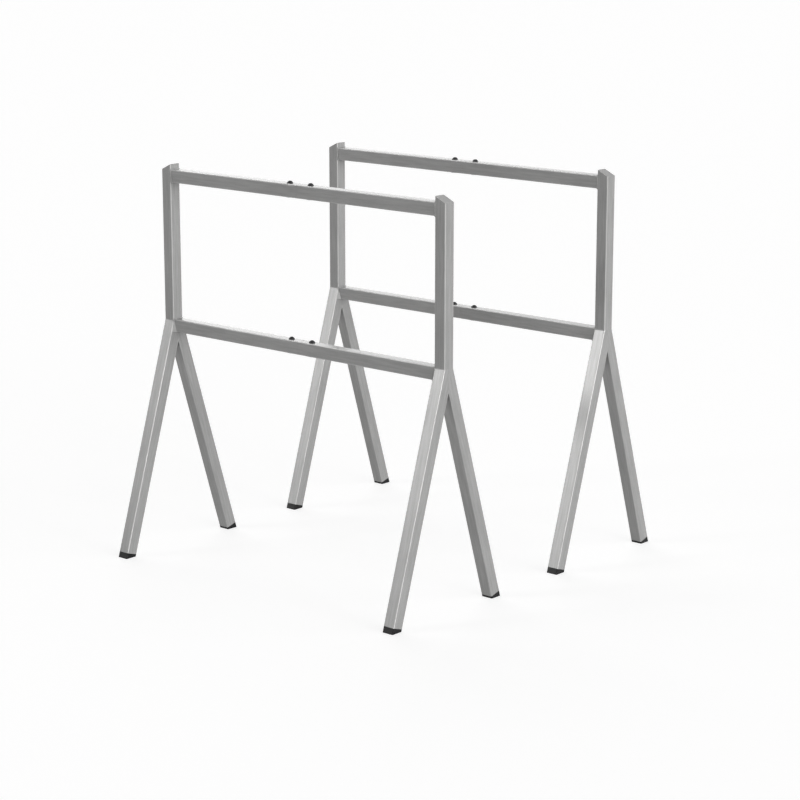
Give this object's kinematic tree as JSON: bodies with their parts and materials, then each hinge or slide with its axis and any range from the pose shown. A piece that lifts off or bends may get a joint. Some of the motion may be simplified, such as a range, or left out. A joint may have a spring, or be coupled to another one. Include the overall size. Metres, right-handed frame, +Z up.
{
  "type": "folding sawhorse pair",
  "caption": "Pair of square-tube steel sawhorses with splayed legs and two rails, whose end frames fold together on pivots in the middle of the rails.",
  "frame": {"origin": "on the floor, in the middle of the pair", "axes": "+X along the rails to the right, +Y from the near sawhorse to the far one, +Z up"},
  "size_m": [0.742, 0.8014, 0.7865],
  "materials": {
    "steel_tube": "silver grey powder coat, satin",
    "foot_cap": "matt black moulded plastic",
    "bolt": "black oxide",
    "link_block": "glass filled nylon",
    "barrel_nut": "bright zinc plate"
  },
  "bodies": {
    "links": {"near_top_link": "link_block", "near_lower_link": "link_block", "far_top_link": "link_block", "far_lower_link": "link_block"},
    "near_left_frame": {"near_left_post": "steel_tube", "near_left_post_top": "steel_tube", "near_left_front_leg": "steel_tube", "near_left_rear_leg": "steel_tube", "near_left_front_foot": "foot_cap", "near_left_rear_foot": "foot_cap", "near_left_top_rail": "steel_tube", "near_left_lower_rail": "steel_tube", "near_left_bolts": "bolt", "near_left_barrel_nuts": "barrel_nut", "near_left_welds": "steel_tube"},
    "near_right_frame": {"near_right_post": "steel_tube", "near_right_post_top": "steel_tube", "near_right_front_leg": "steel_tube", "near_right_rear_leg": "steel_tube", "near_right_front_foot": "foot_cap", "near_right_rear_foot": "foot_cap", "near_right_top_rail": "steel_tube", "near_right_lower_rail": "steel_tube", "near_right_bolts": "bolt", "near_right_barrel_nuts": "barrel_nut", "near_right_welds": "steel_tube"},
    "far_left_frame": {"far_left_post": "steel_tube", "far_left_post_top": "steel_tube", "far_left_front_leg": "steel_tube", "far_left_rear_leg": "steel_tube", "far_left_front_foot": "foot_cap", "far_left_rear_foot": "foot_cap", "far_left_top_rail": "steel_tube", "far_left_lower_rail": "steel_tube", "far_left_bolts": "bolt", "far_left_barrel_nuts": "barrel_nut", "far_left_welds": "steel_tube"},
    "far_right_frame": {"far_right_post": "steel_tube", "far_right_post_top": "steel_tube", "far_right_front_leg": "steel_tube", "far_right_rear_leg": "steel_tube", "far_right_front_foot": "foot_cap", "far_right_rear_foot": "foot_cap", "far_right_top_rail": "steel_tube", "far_right_lower_rail": "steel_tube", "far_right_bolts": "bolt", "far_right_barrel_nuts": "barrel_nut", "far_right_welds": "steel_tube"}
  },
  "joints": [
    {"name": "near_left_fold", "type": "hinge", "parent": "links", "child": "near_left_frame", "pos_m": [-0.027, -0.24425, 0.62], "axis": [0, 0, -1], "range_deg": [0, 68]},
    {"name": "near_right_fold", "type": "hinge", "parent": "links", "child": "near_right_frame", "pos_m": [0.027, -0.24425, 0.62], "axis": [0, 0, 1], "range_deg": [0, 68]},
    {"name": "far_left_fold", "type": "hinge", "parent": "links", "child": "far_left_frame", "pos_m": [-0.027, 0.24425, 0.62], "axis": [0, 0, -1], "range_deg": [0, 68]},
    {"name": "far_right_fold", "type": "hinge", "parent": "links", "child": "far_right_frame", "pos_m": [0.027, 0.24425, 0.62], "axis": [0, 0, 1], "range_deg": [0, 68]}
  ]
}
